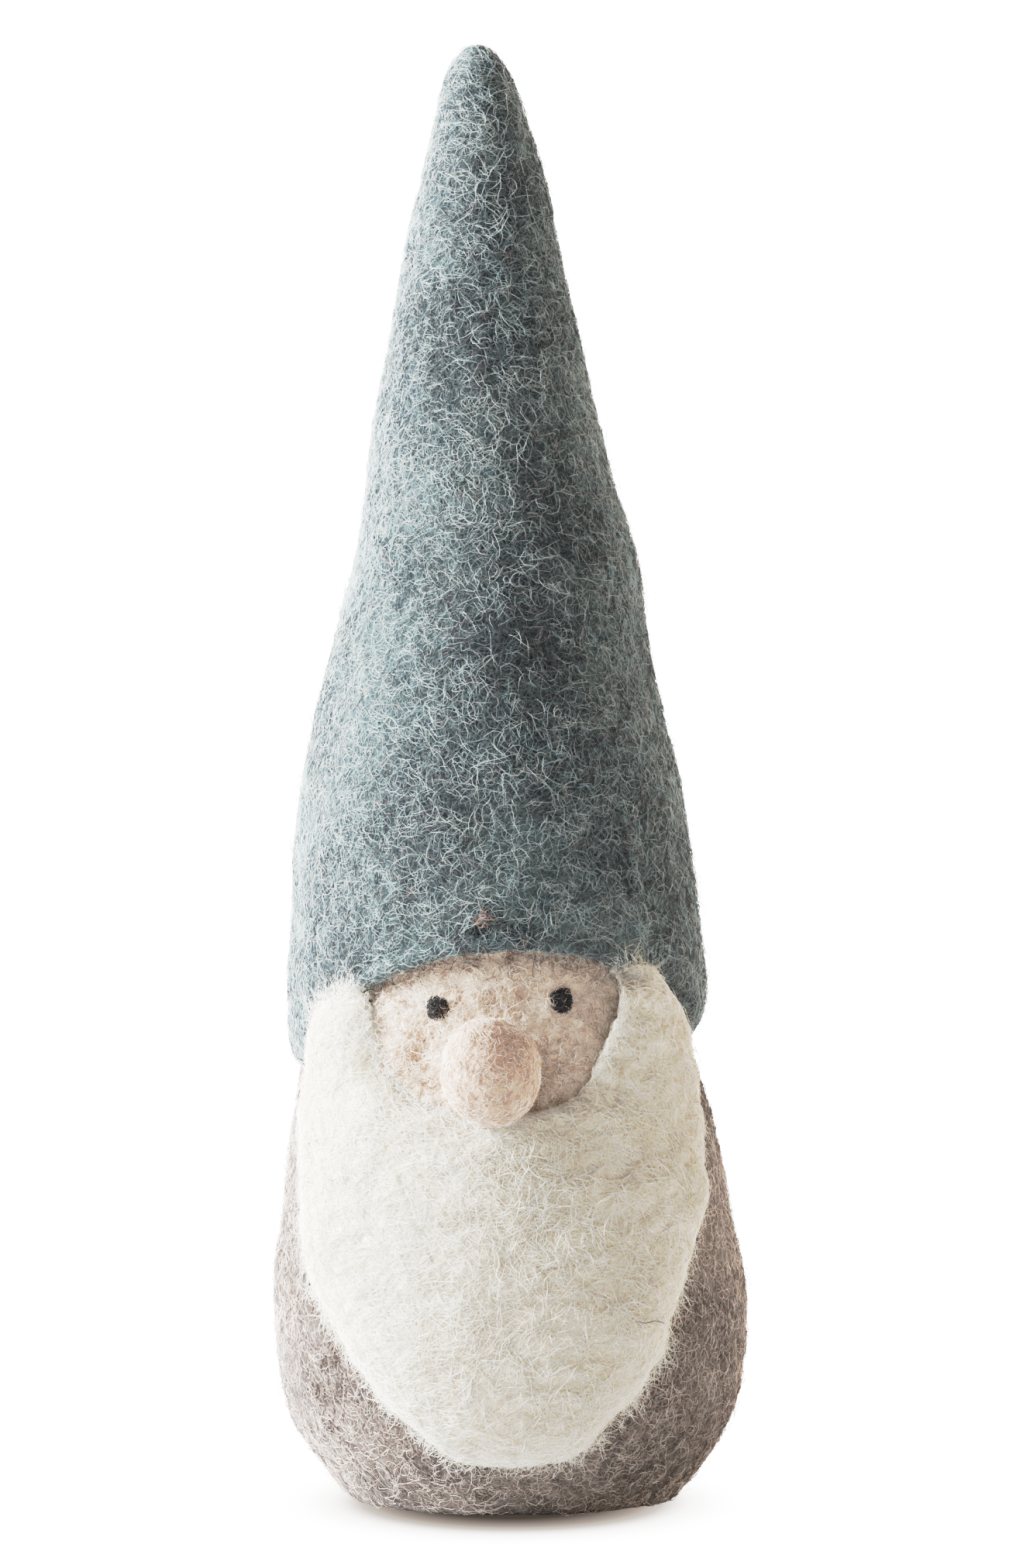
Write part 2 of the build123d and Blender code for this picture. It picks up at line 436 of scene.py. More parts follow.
def make_hat():
    """The hat: a tall cone, a rolled brim that arches over the face, and its lining."""
    # The brim's roll is tighter over the face and fuller on the right.
    right = smoothstep(0.45, 0.95, outward[:, 0])
    roll_high = 5.5 - 3.4 * front + 5.0 * right
    roll_deep = 3.0 - 1.5 * front + 1.6 * right
    straight = 124.0  # the rings are level above this height, and bend to the brim's arch below it
    rings = [ring(hat_profile, z) for z in even_heights(hat_profile, HAT_TOP - 0.2, straight)]
    lower = brim + roll_high
    steps = int((straight - lower.mean()) / ROW_STEP)
    rings += [ring(hat_profile, straight + (lower - straight) * i / steps) for i in range(1, steps + 1)]
    for turn in np.linspace(0, np.pi / 2, 9)[1:]:
        heights = brim + roll_high * (1 - np.sin(turn))
        rings.append(ring(hat_profile, heights, roll_deep * (1 - np.cos(turn))))
    lining = FELT - 0.1
    lining_top = 150.0
    rings.append(ring(hat_profile, brim + 0.6, lining - 0.2))
    rings.append(ring(hat_profile, brim + 3.0, lining))
    rings += [ring(hat_profile, brim + (lining_top - brim) * share, lining) for share in (0.3, 0.6, 1.0)]
    hat = closed_tube("felt_hat", np.array(rings))
    lumpy(hat, 11, [(26.0, 0.5), (9.0, 0.28), (3.2, 0.16), (1.4, 0.07)])
    fold_edge(hat)
    surface = cad_tree("hat_shell")
    dent(hat, in_front(surface, *PUCKER), 2.0, 1.1)
    dent(hat, in_front(surface, *TUFT), 2.2, -0.7)
    return hat


def make_body():
    """The body pod with its flat bottom, round the hole that the felt disc closes."""
    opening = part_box("base_disc")[1][0] / MM + 0.15
    top = 130.0  # out of sight in the hat
    rings = [ring(body_profile, z) for z in even_heights(body_profile, top, 0.3)]
    bottom_r = body_profile[2][0]
    for r in np.linspace(bottom_r - 0.4, opening, 9):
        rings.append(np.column_stack([r * outward, np.zeros(COLUMNS)]))
    for z in (1.0, 2.5, 4.0, 30.0, 100.0, 125.0):
        rings.append(np.column_stack([opening * outward, np.full(COLUMNS, z)]))
    body = closed_tube("felt_body", np.array(rings))
    lumpy(body, 23, [(24.0, 0.45), (8.0, 0.3), (3.0, 0.18), (1.4, 0.08)])
    lift(body, 0.0)
    return body


def rounded_copy(name, node, voxel, smoothing, puff):
    """A node's shape remade as even quads, with its edges worn round and its faces puffed out."""
    mesh = nodes[node].data.copy()
    piece = new_object(name, mesh)
    shape = bmesh.new()
    shape.from_mesh(mesh)
    bmesh.ops.remove_doubles(shape, verts=shape.verts, dist=0.001 * MM)
    shape.to_mesh(mesh)
    shape.free()
    remesh = piece.modifiers.new("even", "REMESH")
    remesh.mode = "VOXEL"
    remesh.voxel_size = voxel * MM
    remesh.use_smooth_shade = True
    depsgraph = bpy.context.evaluated_depsgraph_get()
    even = bpy.data.meshes.new_from_object(piece.evaluated_get(depsgraph))
    piece.modifiers.clear()
    piece.data = even
    even.materials.clear()
    smooth(piece, smoothing)
    points, normals = surface_of(piece)
    move_vertices(even, points + puff * normals)
    return piece


def smooth(piece, times):
    """Moves every vertex halfway to the middle of its neighbours, several times."""
    mesh = piece.data
    ends = np.empty(len(mesh.edges) * 2, dtype=np.int64)
    mesh.edges.foreach_get("vertices", ends)
    a, b = ends.reshape(-1, 2).T
    count = np.bincount(np.concatenate([a, b]), minlength=len(mesh.vertices))[:, None]
    points = vertex_array(mesh)
    for _ in range(times):
        sums = [np.bincount(a, row[b], len(row)) + np.bincount(b, row[a], len(row)) for row in points.T]
        points = (points + np.stack(sums, axis=1) / count) / 2
    move_vertices(mesh, points)


def places_beside_beard(on_face):
    """A search tree over places on the body beside the beard, on the face or on bare felt."""
    beard_tree, face_tree = cad_tree("beard"), cad_tree("face_pad")
    found = []
    for z in np.arange(4.0, 122.0, 0.6):
        middle = Vector((middle_at(body_profile, z), 0.0, z))
        for place in ring(body_profile, z, 0.5)[::2]:
            start = Vector(place)
            way = (start - middle).normalized()
            if start.y > 20.0 or beard_tree.ray_cast(start, way)[0]:
                continue
            if bool(face_tree.ray_cast(start, way)[0]) == on_face:
                found.append(start + way * 0.5)
    places = KDTree(len(found))
    for index, place in enumerate(found):
        places.insert(place, index)
    places.balance()
    return places


bare_felt = places_beside_beard(False)
bare_face = places_beside_beard(True)


def way_to(places, points):
    """From each point to the nearest of some places, on the body's surface, and the way out."""
    middle = middle_at(body_profile, points[:, 2])
    out = np.stack([points[:, 0] - middle, points[:, 1], np.zeros(len(points))], axis=1)
    radius = np.linalg.norm(out, axis=1)[:, None]
    out /= radius
    backing = radius_at(body_profile, points[:, 2])[:, None]
    footprint = points - out * (radius - backing)
    nearest = np.array([places.find(place)[0] for place in footprint.tolist()])
    return nearest - footprint, out


def far_from(places, points):
    """How far each point is from the nearest of some places."""
    return np.linalg.norm(way_to(places, points)[0], axis=1)


def thinned(distance, reach, left):
    """The share of its thickness that a batt keeps: the least at its edge, all of it further in."""
    return left + (1 - left) * np.sin(np.pi / 2 * np.clip(distance / reach, 0, 1)) ** 0.8


def depth_over(surface, points, inwards, chosen):
    """How far in the surface lies under each chosen point, and nothing for the others."""
    depth = np.zeros(len(points))
    for i in np.flatnonzero(chosen):
        depth[i] = surface.ray_cast(points[i], inwards[i], 12.0)[3] or 0.0
    return depth


# How far in from its edges the beard is thinned out: over felt, on its locks, and over the face.
FELT_REACH, LOCK_REACH, FACE_REACH = 11.0, 6.0, 7.0
FELT_LIP, FACE_LIP = 0.05, 0.3  # the share of its thickness that it keeps at its edges
MOST_SUNK = 0.9  # the most that it sinks, as a share of its height over the felt


def feather(piece):
    """Thins the beard out over bare felt, and a little over the face's lit left side."""
    points, normals = surface_of(piece)
    way, out = way_to(bare_felt, points)
    on_lock = smoothstep(82.0, 94.0, points[:, 2])
    reach = FELT_REACH + (LOCK_REACH - FELT_REACH) * on_lock
    over_felt = thinned(np.linalg.norm(way, axis=1), reach, FELT_LIP)
    lip = FACE_LIP + (1.0 - FACE_LIP) * smoothstep(-18.0, 3.0, points[:, 0])
    over_face = thinned(far_from(bare_face, points), FACE_REACH, lip)
    facing = smoothstep(-0.8, -0.3, np.sum(normals * out, axis=1))
    above_felt = depth_over(cad_tree("body_shell", "hat_shell"), points, -out, facing > 0)
    above_body = depth_over(cad_tree("body_shell"), points, -out, (facing > 0) & (over_face < 1))
    sunk = np.maximum(above_felt * (1 - over_felt), above_body * (1 - over_face))
    sunk = np.minimum(sunk, MOST_SUNK * above_felt)
    move_vertices(piece.data, points - out * (facing * sunk)[:, None])


def make_beard():
    """A thick soft batt, thin at its edges, with low folds that run from side to side."""
    beard = rounded_copy("wool_beard", "beard", 0.62, 14, 0.5)
    feather(beard)
    smooth(beard, 9)
    points, normals = surface_of(beard)
    long = points * np.array([0.4, 0.4, 1.0])
    push = 0.75 * cloudy(long, 8.0, 31, 2) + 0.3 * cloudy(long, 2.8, 35, 2)
    move_vertices(beard.data, points + normals * push[:, None])
    surface = cad_tree("beard", "face_pad")
    for x, z in LOCK_CREASE:
        dent(beard, in_front(surface, x, z), 1.7, 0.8)
    return beard


FACE_TURN = -0.085  # which way the face's middle looks, round the body
FACE_STRETCH = 1.1  # how much wider it is drawn out
FACE_DROP = 2.0  # how far its lower edge is drawn down
CHEEK_RISE = 1.3  # how far the face's left side swells up to the beard's lock


def make_face():
    """The face pad, lumpy with tufts of wool, drawn out on the body to run under the beard."""
    face = rounded_copy("felt_face", "face_pad", 0.45, 4, 0.0)
    x, y, z = vertex_array(face.data).T
    across_x = x - middle_at(body_profile, z)
    above = np.hypot(across_x, y) - radius_at(body_profile, z)
    turn = FACE_TURN + (np.arctan2(across_x, -y) - FACE_TURN) * FACE_STRETCH
    z = z - FACE_DROP * (1.0 - smoothstep(76.0, 96.0, z))
    cheek = smoothstep(-14.0, -26.0, x) * smoothstep(80.0, 90.0, z) * (1.0 - smoothstep(102.0, 108.0, z))
    radius = radius_at(body_profile, z) + above + CHEEK_RISE * cheek
    x = middle_at(body_profile, z) + radius * np.sin(turn)
    move_vertices(face.data, np.stack([x, -radius * np.cos(turn), z], axis=1))
    lumpy(face, 41, [(9.0, 0.25), (3.4, 0.4), (1.5, 0.24)])
    return face


def make_base():
    """The felt disc that closes the body from below."""
    base = rounded_copy("felt_base", "base_disc", 0.55, 3, 0.0)
    lumpy(base, 63, [(8.0, 0.18), (3.0, 0.12), (1.4, 0.07)])
    lift(base, 0.3)
    return base


def make_stitches():
    """Short hand-sewn stitches of soft thread across the disc's edge."""
    stitches = rounded_copy("thread_stitches", "closing_stitches", 0.16, 2, 0.0)
    lumpy(stitches, 67, [(0.8, 0.07)])
    lift(stitches, 0.0)
    return stitches


def ball(name, low, high, cuts):
    """A round closed piece that fills a box: a cube's faces, cut up and pushed onto a sphere."""
    shape = bmesh.new()
    bmesh.ops.create_cube(shape, size=2.0)
    bmesh.ops.subdivide_edges(shape, edges=shape.edges, cuts=cuts, use_grid_fill=True)
    mesh = bpy.data.meshes.new(name)
    shape.to_mesh(mesh)
    shape.free()
    unit = vertex_array(mesh) * MM
    unit /= np.linalg.norm(unit, axis=1)[:, None]
    low, high = np.array(low), np.array(high)
    move_vertices(mesh, ((low + high) / 2 + unit * (high - low) / 2) / MM)
    mesh.polygons.foreach_set("use_smooth", np.ones(len(mesh.polygons), dtype=bool))
    return new_object(name, mesh)


def make_nose():
    """The felt ball, pressed a little out of round."""
    low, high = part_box("nose_ball")
    depth = (high[0] - low[0]) * 0.98
    nose = ball("felt_nose", low, (high[0], low[1] + depth, high[2]), 70)
    lumpy(nose, 53, [(9.0, 0.4), (3.5, 0.16), (1.4, 0.06)])
    return nose


def make_eye(node):
    """A tight dome of black wool."""
    low, high = (np.array(corner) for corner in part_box(node))
    deep = 0.8 * (high[0] - low[0])
    grow = np.array([0.1, 0.3, 0.1]) * MM
    eye = ball("wool_" + node, low - grow, np.array([high[0], low[1] + deep, high[2]]) + grow, 24)
    lumpy(eye, 61, [(2.0, 0.25), (0.8, 0.12)])
    return eye


# ---- Wool fibres ----

MOST_FIBRES = 4000  # in one piece
LENGTH_SPREAD = 0.3
ENDS_SUNK = 0.12  # how far a fibre's ends go into the felt
LEAST_HEIGHT = 0.15  # keeps the fibres' middles off the floor
few = 1.0  # the share of the fibres that is laid


def scatter(piece, count, keep):
    """Random places on a piece's surface, evenly by area, where keep(points) allows them."""
    mesh = piece.data
    mesh.calc_loop_triangles()
    corners = np.empty(len(mesh.loop_triangles) * 3, dtype=np.int32)
    mesh.loop_triangles.foreach_get("vertices", corners)
    a, b, c = (vertex_array(mesh)[corners.reshape(-1, 3)[:, i]] for i in range(3))
    area = np.linalg.norm(np.cross(b - a, c - a), axis=1) * keep((a + b + c) / 3)
    chosen = rng.choice(len(area), size=count, p=area / area.sum())
    u, v = rng.random((2, count))
    flip = u + v > 1
    u, v = np.where(flip, 1 - u, u), np.where(flip, 1 - v, v)
    a, b, c = a[chosen], b[chosen], c[chosen]
    places = a + u[:, None] * (b - a) + v[:, None] * (c - a)
    normals = np.cross(b - a, c - a)
    return places, normals / np.linalg.norm(normals, axis=1)[:, None]


def onto(tree, points):
    """The nearest surface places and their normals."""
    found = [tree.find_nearest(point) for point in points.tolist()]
    places = np.array([hit[0] for hit in found])
    normals = np.array([hit[1] for hit in found])
    return places, normals


def across(vectors, normals):
    """Vectors laid into the surface and made one long."""
    flat = vectors - normals * np.sum(vectors * normals, axis=1)[:, None]
    return flat / np.maximum(np.linalg.norm(flat, axis=1), 1e-9)[:, None]


def turned(vectors, normals, turn):
    """Vectors turned about the normals by angles."""
    sideways = np.cross(normals, vectors)
    return vectors * np.cos(turn)[:, None] + sideways * np.sin(turn)[:, None]


def lay_fibres(piece, tree, count, look, keep):
    """Curly paths along a surface.

    A look gives the flow that they follow, how far they stray from it in radians, which ends may
    come first, the steps and length, the curl in radians per mm, how high they rise and wave,
    and how many have a loose end and how high it stands.
    """
    places, normals = scatter(piece, count, keep)
    flow = across(look["flow"](places), normals)
    heading = turned(flow, normals, rng.normal(0.0, look["stray"], count))
    heading *= rng.choice(look["ends"], count)[:, None]
    steps = look["steps"]
    stride = look["length"] * np.exp(rng.normal(0.0, LENGTH_SPREAD, count)) / steps
    curl = rng.normal(0.0, look["curl"], count)
    wobble = rng.uniform(0, 2 * np.pi, count)
    paths, ups = [], []
    for step in range(steps + 1):
        paths.append(places)
        ups.append(normals)
        bend = curl + look["curl"] * 0.9 * np.sin(wobble + step * 0.9)
        heading = turned(heading, normals, bend * stride)
        places, normals = onto(tree, places + heading * stride[:, None])
        heading = across(heading, normals)
    paths, ups = np.stack(paths, axis=1), np.stack(ups, axis=1)
    share = np.linspace(0, 1, steps + 1)[None, :]
    arch = np.sin(np.pi * share) ** 0.6
    rise = rng.uniform(*look["rise"], (count, 1))
    wave = look["wave"] * np.sin(rng.uniform(0, 6.3, (count, 1)) + share * rng.uniform(5, 12, (count, 1)))
    loose = (rng.random((count, 1)) < look["loose"]) * rng.uniform(0.4, look["loose_high"], (count, 1))
    height = rise * arch + wave * arch - ENDS_SUNK * (1 - arch) + loose * share**2
    paths = paths + ups * height[:, :, None]
    paths[:, :, 2] = np.maximum(paths[:, :, 2], LEAST_HEIGHT)
    return paths, ups


def tubes(name, paths, ups, thick):
    """One mesh of closed three-sided tubes along paths, thinner towards both ends."""
    count, rows, _ = paths.shape
    along = np.gradient(paths, axis=1)
    along /= np.maximum(np.linalg.norm(along, axis=2), 1e-9)[:, :, None]
    side = np.cross(along, ups)
    side /= np.maximum(np.linalg.norm(side, axis=2), 1e-9)[:, :, None]
    up = np.cross(side, along)
    share = np.linspace(0, 1, rows)[None, :, None]
    taper = 0.45 + 0.55 * np.sin(np.pi * share) ** 0.5
    radius = thick / 2 * rng.uniform(0.75, 1.3, (count, 1, 1)) * taper
    corners = []
    for turn in (np.pi / 2, np.pi * 7 / 6, np.pi * 11 / 6):
        corners.append(paths + radius * (np.sin(turn) * up + np.cos(turn) * side))
    points = np.stack(corners, axis=2).reshape(-1, 3)
    first = (np.arange(count) * rows * 3)[:, None, None]
    row = (np.arange(rows - 1) * 3)[None, :, None]
    corner = np.arange(3)[None, None, :]
    after = (corner + 1) % 3
    here, beside = first + row + corner, first + row + after
    sides = np.stack([here, here + 3, beside + 3, beside], axis=-1).reshape(-1, 4)
    start = first[:, 0, 0]
    end = start + (rows - 1) * 3
    starts, ends = np.stack([start, start + 1, start + 2], 1), np.stack([end + 2, end + 1, end], 1)
    return mesh_of(name, points, sides, np.concatenate([starts, ends]))


def everywhere(points):
    """Keeps every place."""
    return np.ones(len(points))


def any_way(points):
    """A different random direction for every fibre."""
    return rng.normal(size=points.shape)


def level(points):
    """Round the figure, level with the floor, with some slope."""
    flow = np.stack([-points[:, 1], points[:, 0], np.zeros(len(points))], axis=1)
    flow /= np.linalg.norm(flow, axis=1)[:, None]
    flow[:, 2] = rng.normal(0.0, 0.15, len(points))
    return flow


def patches(size, seed, low, high, least=0.0):
    """A weight for every place, from least to 1, that makes cloudy patches."""

    def weight(points):
        return least + (1.0 - least) * smoothstep(low, high, cloudy(points, size, seed))

    return weight


def product(*weights):
    """A weight that multiplies some others."""

    def weight(points):
        return np.prod([one(points) for one in weights], axis=0)

    return weight


def finish_fibres(fibres, material):
    """Gives fibres their material and body."""
    fibres.data.materials.append(material)
    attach(fibres, "root")


def cover(piece, tree, base, count, look, colours, keep=everywhere):
    """Covers a piece in fibres of some colours, in pieces of a limited size.

    Each colour has a material, a share of the count, a thickness, and perhaps a weight for places.
    """
    for colour, (material, share, thick, *weights) in colours.items():
        allowed = product(keep, *weights)
        left = int(count * share * few)
        for part in itertools.count(1):
            if left <= 0:
                break
            paths, ups = lay_fibres(piece, tree, min(left, MOST_FIBRES), look, allowed)
            finish_fibres(tubes(f"{base}_{colour}_{part}", paths, ups, thick), material)
            left -= MOST_FIBRES


# ---- Materials ----


def wool(name, colour, sheen=0.25, roughness=0.6):
    """One even colour of wool fibre: several are mixed over each patterned felt."""
    material = bpy.data.materials.new(name)
    material.use_nodes = True
    set_inputs(material.node_tree, material.node_tree.nodes["Principled BSDF"], {
        "Base Color": colour,
        "Roughness": roughness,
        "Specular IOR Level": 0.35,
        "Sheen Weight": sheen,
        "Sheen Roughness": 0.5,
    })
    return material


def wools(kind, colours):
    """A new fibre material for each colour in a table; a material in it stays as it is."""
    fibres = {}
    for name, (colour, *rest) in colours.items():
        material = wool(f"{kind}_{name}_fibre", colour) if isinstance(colour, tuple) else colour
        fibres[name] = (material, *rest)
    return fibres


# The sockets of a mix node that hold colours.
MIX_COLOURS = (6, 7)
MIX_RESULT = 2


class Shading:
    """A short way to write a material's nodes."""

    def __init__(self, name):
        self.material = bpy.data.materials.new(name)
        self.material.use_nodes = True
        self.tree = self.material.node_tree
        self.place = self.add("TexCoord", {}).outputs["Object"]

    def add(self, kind, inputs):
        """A new node with its inputs."""
        return add_node(self.tree, kind, inputs)

    def finish(self, inputs):
        """Gives the material's shader its inputs."""
        set_inputs(self.tree, self.tree.nodes["Principled BSDF"], inputs)
        return self.material

    def noise(self, size, detail, offset):
        """Noise whose bumps are about a size across, in millimetres."""
        mapping = self.add("Mapping", {
            "Vector": self.place,
            "Location": (offset, offset * 1.7, offset * 0.6),
            "Scale": (1.0 / (size * MM),) * 3,
        })
        texture = self.add("TexNoise", {"Vector": mapping.outputs[0], "Scale": 1.0, "Detail": detail})
        return texture.outputs["Fac"]

    def math(self, kind, *values):
        """A sum with one or two values, each a number or a socket."""
        node = self.add("Math", dict(enumerate(values)))
        node.operation = kind
        return node.outputs[0]

    def between(self, value, low, high, start=0.0, end=1.0):
        """A value's smooth way from start at low to end at high."""
        ends = {"From Min": low, "From Max": high, "To Min": start, "To Max": end}
        node = self.add("MapRange", {"Value": value, **ends})
        node.interpolation_type = "SMOOTHSTEP"
        return node.outputs["Result"]

    def strands(self, size, width, offset):
        """Thin curly lines: where noise crosses its middle value."""
        away = self.math("ABSOLUTE", self.math("SUBTRACT", self.noise(size, 0.6, offset), 0.5))
        return self.between(away, 0.0, width, 1.0, 0.0)

    def mixed(self, share, first, second):
        """Two colours, mixed by a share: each is a colour or a socket."""
        node = self.add("Mix", {"Factor": share})
        node.data_type = "RGBA"
        set_inputs(self.tree, node, dict(zip(MIX_COLOURS, (first, second))))
        return node.outputs[MIX_RESULT]

    def bump(self, height, distance):
        """A surface raised by a distance in millimetres where the height is 1."""
        return self.add("Bump", {"Height": height, "Distance": distance * MM}).outputs[0]


def felt(name, deep, middle, pale, accent, strand=0.75, relief=0.25, sheen=0.35, tint=(1.0, 1.0, 1.0)):
    """Matted wool: curly pale strands over darker gaps, with cloudy changes of colour."""
    shading = Shading(name)
    mottle = shading.add("Attribute", {})
    mottle.attribute_name = "mottle"
    specks = shading.between(shading.noise(3.2, 3.0, 9.0), 0.52, 0.72)
    ground = shading.mixed(mottle.outputs["Fac"], deep, middle)
    ground = shading.mixed(shading.math("MULTIPLY", specks, 0.55), ground, accent)
    tangle = functools.reduce(
        lambda one, other: shading.math("MAXIMUM", one, other),
        [shading.strands(*layer) for layer in STRAND_LAYERS],
    )
    grain = shading.math("MULTIPLY", shading.noise(0.5, 2.0, 21.0), 0.5)
    height = shading.math("ADD", shading.math("MULTIPLY", tangle, 0.7), grain)
    return shading.finish({
        "Base Color": shading.mixed(shading.math("MULTIPLY", tangle, strand), ground, pale),
        "Normal": shading.bump(height, relief),
        "Roughness": 0.95,
        "Specular IOR Level": 0.15,
        "Sheen Weight": sheen,
        "Sheen Roughness": 0.55,
        "Sheen Tint": tint,
    })


def yarn(name, dark, light, size=0.5):
    """Soft fibre, thread, cloth or grain in two shades, with a fine raised pattern."""
    shading = Shading(name)
    grain = shading.noise(size, 3.0, 2.0)
    return shading.finish({
        "Base Color": shading.mixed(shading.between(grain, 0.35, 0.65), dark, light),
        "Normal": shading.bump(grain, 0.3 * size),
        "Roughness": 0.9,
    })


# Layers of strands: how far apart they curl, how thick they are, and a shift between layers.
STRAND_LAYERS = [(2.6, 0.028, 0.0), (1.9, 0.034, 5.0), (3.4, 0.022, 11.0), (1.3, 0.04, 17.0)]


# ---- The figure ----


def dress(piece, material, slot, *replaced, clouds=everywhere):
    """Gives a piece its material and body, and hides the CAD nodes that it stands for."""
    mottle = piece.data.attributes.new("mottle", "FLOAT", "POINT")
    mottle.data.foreach_set("value", clouds(vertex_array(piece.data)).astype(np.float32))
    piece.data.materials.clear()
    piece.data.materials.append(material)
    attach(piece, "root")
    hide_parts(*replaced)


STRAY_THICK = 0.24


def stray(name, surface, spots, material):
    """One loose fibre just off a surface, over spots given by x and z from the front."""
    path = np.array([in_front(surface, x, z) for x, z in spots])
    path[:, 1] -= 1.2 + 0.3 * np.sin(np.linspace(0.0, 5.0, len(path)))
    fibre = tubes(name, path[None], np.tile([0.0, -1.0, 0.0], (1, len(path), 1)), STRAY_THICK)
    finish_fibres(fibre, material)


FRONT_Y = -20.0  # what lies in front of this is on the face's side


def spot(points, x, z, wide, high):
    """A soft oval spot, seen from the front: 1 in its middle and 0 far from it."""
    return np.exp(-(((points[:, 0] - x) / wide) ** 2) - ((points[:, 2] - z) / high) ** 2)


def seen_hat(points):
    """The hat's outside, without its lining."""
    x, y, z = points.T
    return (z > 88.0) * (np.hypot(x - middle_at(hat_profile, z), y) > radius_at(hat_profile, z) - 2.5)


def seen_body(points):
    """The body's outside, below the hat and clear of the floor."""
    x, y, z = points.T
    return (z < 102.0) * (z > 0.6) * (np.hypot(x, y) > 28.0)


def underneath(points):
    """The base's underside."""
    return points[:, 2] < 0.4


def seen_beard(points):
    """The beard's outside."""
    x, y, z = points.T
    return np.hypot(x, y) > radius_at(body_profile, z) + 0.4


def beard_hem(points):
    """The beard's last few millimetres before bare felt."""
    return seen_beard(points) * (1.0 - smoothstep(1.0, 6.0, far_from(bare_felt, points)))


def beard_lip(points):
    """The beard's last few millimetres before the face, with more on the left lock."""
    left_lock = smoothstep(-16.0, -26.0, points[:, 0])
    edge = 1.0 - smoothstep(0.5, 2.5, far_from(bare_face, points))
    return seen_beard(points) * edge * (1.0 + 0.8 * left_lock)


def off_the_hem(points):
    """Out of the beard over bare felt, and a little downwards."""
    return way_to(bare_felt, points)[0] + np.array([0.0, 0.0, -0.6])


def off_the_lip(points):
    """Out of the beard over the face."""
    return way_to(bare_face, points)[0]


def above_brim(points):
    """The hat's edge over the face."""
    return seen_hat(points) * (points[:, 1] < FRONT_Y) * (above_edge(points) < 2.0)


def downwards(points):
    """Straight down."""
    return np.tile([0.0, 0.0, -1.0], (len(points), 1))


def near(place, size):
    """A weight that picks a small patch round a place."""

    def weight(points):
        return np.exp(-np.sum(((points - place) / size) ** 2, axis=1)) + 1e-12

    return weight


def face_clouds_and_brim_shade(points):
    """Patches on the face, with darker brown under the middle of the brim: partly brown wool, partly painted
    shade of the brim.
    """
    # painted shade, in part: the spot under the brim's middle pulls the face towards its deep brown
    return patches(7.0, 91, -0.6, 0.3, 0.25)(points) * (1.0 - spot(points, -6.6, 115.0, 7.0, 3.0))


def ruddy_places(points):
    """Where the face's darker fibres lie: in tufts, and most of all at its lower left, where they partly
    paint the shade of a shallow recess.
    """
    # partly painted shade: more dark fibres at the face's lower left
    lower_left = smoothstep(-8.0, -20.0, points[:, 0]) * (1.0 - smoothstep(90.0, 100.0, points[:, 2]))
    return patches(5.0, 95, -0.3, 0.3, 0.2)(points) * (1.0 + 1.6 * lower_left)


def under_the_brim(points):
    """The strip of face that the hat's brim shades: the darker fibres laid on it are painted shade."""
    return (points[:, 1] < FRONT_Y) * smoothstep(-3.4, -0.8, above_edge(points))


def below_nose_cream_and_shade(points):
    """The darker, warmer wool below the nose: partly cream wool, partly painted shade of the nose warmed by
    bounced light.
    """
    # painted shade, in part: a soft spot below the nose that darkens and warms the beard there
    return spot(points, 0.0, 58.0, 20.0, 26.0)


def beard_clouds(points):
    """Cloudy patches of white and cream, with more cream below the nose, partly as painted shade."""
    return patches(16.0, 101, -0.4, 0.4)(points) * (1.0 - 0.75 * below_nose_cream_and_shade(points))


def straw_places(points):
    """Where the beard's yellowish fibres lie: in patches, and more below the nose, partly as painted shade.
    """
    return patches(14.0, 107, -0.3, 0.4, 0.3)(points) + 0.8 * below_nose_cream_and_shade(points)


# Dark knots in the hat's wool: the x and z of their middles, and their sizes.
HAT_KNOTS = [
    (-20.5, 191.0, 7.0), (-5.0, 236.0, 8.0), (-1.0, 173.0, 9.0), (2.0, 267.0, 7.0), (9.0, 205.0, 8.0),
]


def knots(points):
    """How much each place on the hat's front belongs to a dark knot."""
    total = sum(spot(points, x, z, size, size) for x, z, size in HAT_KNOTS)
    return np.clip(total, 0.0, 1.0) * (points[:, 1] < 0.0)


def rightness(points):
    """How far to the right each place on the hat is, from -1 to 1."""
    x, _, z = points.T
    return (x - middle_at(hat_profile, z)) / radius_at(hat_profile, z)


def pale_places(points):
    """Where the hat's pale fibres lie: less in the dark knots, more towards the tip, and fewer towards the
    right as painted shade on the side away from the key light.
    """
    lifted = 1.0 + 0.6 * smoothstep(165.0, 215.0, points[:, 2])
    # painted shade: fewer pale fibres towards the right, away from the key light
    sideways = 1.1 - 0.5 * smoothstep(-0.7, 0.6, rightness(points))
    return patches(17.0, 71, -0.5, 0.3, 0.5)(points) * (1.0 - 0.7 * knots(points)) * lifted * sideways


def dark_places(points):
    """Where the hat's darkest fibres lie: in patches and dark knots, and more towards the right as painted
    shade on the side away from the key light.
    """
    # painted shade: more dark fibres towards the right, away from the key light
    sideways = 0.4 * smoothstep(-0.25, 0.6, rightness(points))
    return patches(12.0, 75, -0.3, 0.35, 0.12)(points) + 1.3 * knots(points) + sideways


def hat_clouds(points):
    """Cloudy patches with the dark knots in them."""
    return patches(17.0, 71, -0.35, 0.45)(points) * (1.0 - knots(points))


hat = make_hat()
dress(hat, felt("hat_felt_wool", (0.010, 0.019, 0.025), (0.045, 0.070, 0.076), (0.16, 0.205, 0.205),
                (0.012, 0.022, 0.036), strand=0.6, tint=(0.92, 1.0, 1.0)), "hat_felt", "hat_shell",
      clouds=hat_clouds)

